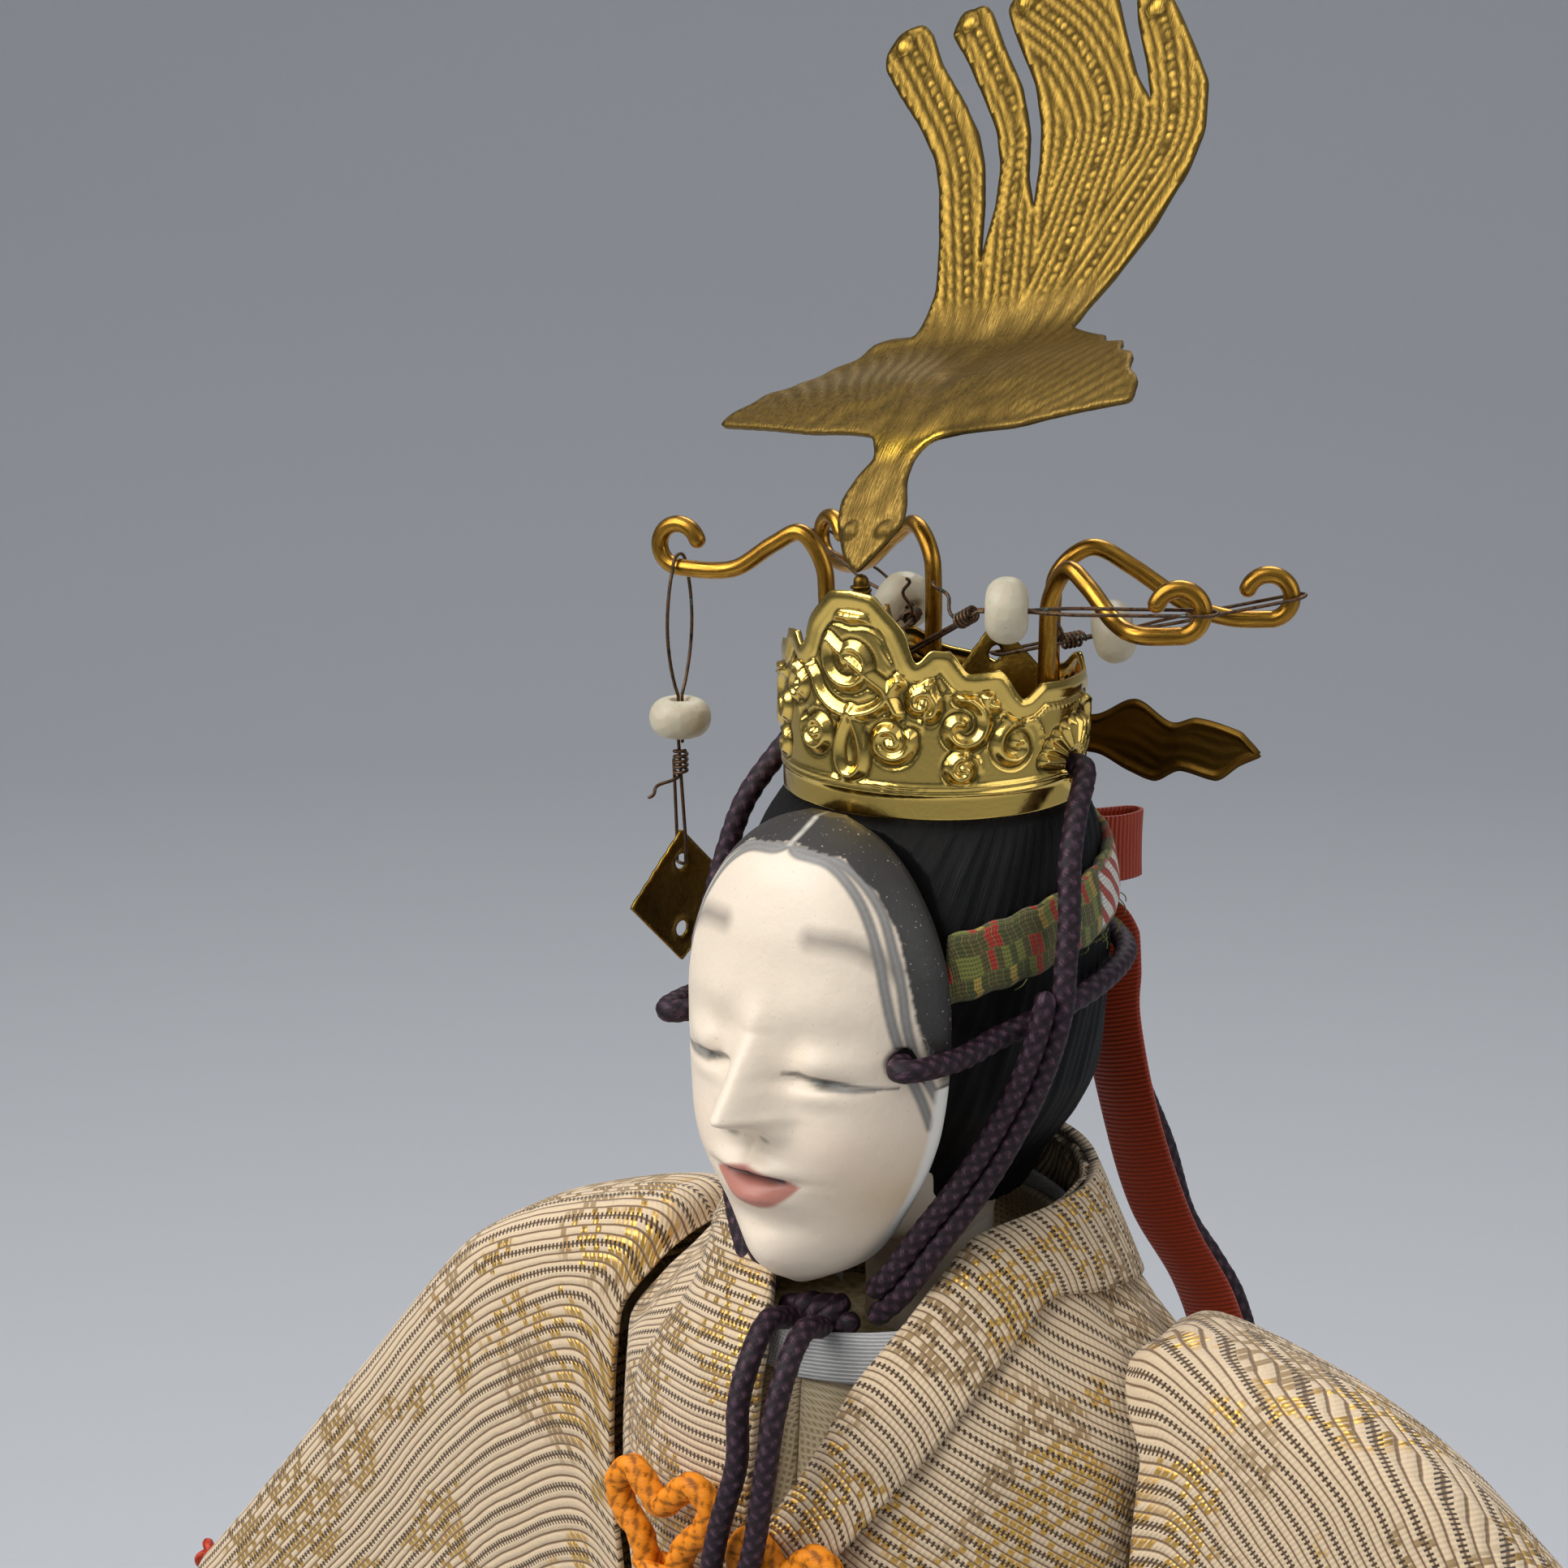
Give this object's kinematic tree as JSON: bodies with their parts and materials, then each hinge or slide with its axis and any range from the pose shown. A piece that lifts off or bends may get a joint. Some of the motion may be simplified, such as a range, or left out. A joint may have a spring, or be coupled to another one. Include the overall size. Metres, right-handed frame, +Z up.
{
  "type": "Noh dancer doll",
  "caption": "Standing costume doll of a masked Noh dancer with a pendant crown, a crowning phoenix, tied cords and a wide-sleeved gauze robe on a lacquered base.",
  "frame": {"origin": "centre of the base board's underside", "axes": "+Z up, the doll faces -Y, its left hand is towards +X"},
  "size_m": [0.2, 0.16, 0.414],
  "materials": {
    "black_lacquer": "black lacquer on wood",
    "white_cotton": "white cotton sock over a carved foot",
    "bare_wood": "unfinished dowel",
    "wrapped_straw": "bound straw wrapped in paper",
    "iron_wire": "annealed wire",
    "shell_white": "carved wood under polished shell white",
    "skirt_silk": "woven silk",
    "under_robe_silk": "woven silk",
    "collar_silk": "white woven silk",
    "sash_silk": "woven silk",
    "cream_gold_gauze": "ribbed gauze with gold thread",
    "red_cord": "braided cord",
    "orange_cord": "braided cord",
    "purple_cord": "braided silk cord",
    "black_hair_silk": "glued silk thread",
    "brocade": "gold brocade",
    "red_ribbon": "silk ribbon",
    "crown_brass": "bright stamped sheet",
    "dark_brass": "tarnished sheet",
    "wire_brass": "drawn wire",
    "oxidised_copper_wire": "oxidised wire",
    "frosted_glass": "frosted glass bead, opaque",
    "brass_plate": "stamped sheet",
    "phoenix_brass": "tarnished stamped sheet"
  },
  "bodies": {
    "doll": {"base_board": "black_lacquer", "leg_rod_left": "bare_wood", "leg_rod_right": "bare_wood", "tabi_foot_left": "white_cotton", "tabi_foot_right": "white_cotton", "body_core": "wrapped_straw", "arm_wire": "iron_wire", "arm_padding_left": "wrapped_straw", "arm_padding_right": "wrapped_straw", "hand_left": "shell_white", "hand_right": "shell_white", "skirt": "skirt_silk", "inner_robe": "under_robe_silk", "inner_collar": "collar_silk", "waist_sash": "sash_silk", "outer_robe": "cream_gold_gauze", "robe_collar": "cream_gold_gauze", "sleeve_left": "cream_gold_gauze", "sleeve_right": "cream_gold_gauze", "sleeve_knot_left": "red_cord", "sleeve_knot_right": "red_cord", "chest_knot_left": "orange_cord", "chest_knot_right": "orange_cord", "head": "shell_white", "hair": "black_hair_silk", "mask": "shell_white", "headband": "brocade", "ribbon_knot": "red_ribbon", "ribbon_loop": "red_ribbon", "ribbon_tail_left": "red_ribbon", "ribbon_tail_right": "red_ribbon", "mask_cord": "purple_cord", "back_knot": "purple_cord", "mask_tail_left": "purple_cord", "mask_tail_right": "purple_cord", "crown_cord_left": "purple_cord", "crown_cord_right": "purple_cord", "chin_knot": "purple_cord", "chin_tail_left": "purple_cord", "chin_tail_right": "purple_cord", "crown_band": "crown_brass", "crown_leaf": "dark_brass", "crown_arm_front_left": "wire_brass", "crown_arm_front_right": "wire_brass", "crown_arm_back_left": "wire_brass", "crown_arm_back_right": "wire_brass", "phoenix_stem": "dark_brass", "phoenix": "phoenix_brass"},
    "pendant_front_right": {"pendant_wire_front_right": "oxidised_copper_wire", "bead_front_right": "frosted_glass"},
    "hanging_plate_front_right": {"plate_front_right": "brass_plate"},
    "pendant_front_left": {"pendant_wire_front_left": "oxidised_copper_wire", "bead_front_left": "frosted_glass"},
    "hanging_plate_front_left": {"plate_front_left": "brass_plate"},
    "pendant_back_left": {"pendant_wire_back_left": "oxidised_copper_wire", "bead_back_left": "frosted_glass"},
    "hanging_plate_back_left": {"plate_back_left": "brass_plate"},
    "pendant_back_right": {"pendant_wire_back_right": "oxidised_copper_wire", "bead_back_right": "frosted_glass"},
    "hanging_plate_back_right": {"plate_back_right": "brass_plate"}
  },
  "joints": [
    {"name": "pendant_swing_front_right", "type": "hinge", "parent": "doll", "child": "pendant_front_right", "pos_m": [-0.0275, -0.0025, 0.3595], "axis": [-0.9903, -0.1392, 0], "range_deg": [-40, 40]},
    {"name": "plate_swing_front_right", "type": "hinge", "parent": "pendant_front_right", "child": "hanging_plate_front_right", "pos_m": [-0.0275, -0.0025, 0.3302], "axis": [0.9817, -0.1903, 0], "range_deg": [-35, 35]},
    {"name": "pendant_swing_front_left", "type": "hinge", "parent": "doll", "child": "pendant_front_left", "pos_m": [0.02905, -0.00201, 0.362], "axis": [-0.4777, 0.8785, 0], "range_deg": [0, 15]},
    {"name": "plate_swing_front_left", "type": "hinge", "parent": "pendant_front_left", "child": "hanging_plate_front_left", "pos_m": [0, -0.0072, 0.3548], "axis": [-0.3182, -0.948, 0], "range_deg": [-12, 12]},
    {"name": "pendant_swing_back_left", "type": "hinge", "parent": "doll", "child": "pendant_back_left", "pos_m": [0.02638, 0.01994, 0.3592], "axis": [-0.4475, 0.8943, 0], "range_deg": [0, 6]},
    {"name": "plate_swing_back_left", "type": "hinge", "parent": "pendant_back_left", "child": "hanging_plate_back_left", "pos_m": [0.006, 0.001, 0.3548], "axis": [0.9422, -0.335, 0], "range_deg": [-12, 12]},
    {"name": "pendant_swing_back_right", "type": "hinge", "parent": "doll", "child": "pendant_back_right", "pos_m": [-0.02638, 0.01994, 0.3592], "axis": [-0.4475, -0.8943, 0], "range_deg": [0, 6]},
    {"name": "plate_swing_back_right", "type": "hinge", "parent": "pendant_back_right", "child": "hanging_plate_back_right", "pos_m": [-0.006, 0.001, 0.3548], "axis": [0.9422, 0.335, 0], "range_deg": [-6, 12]}
  ]
}
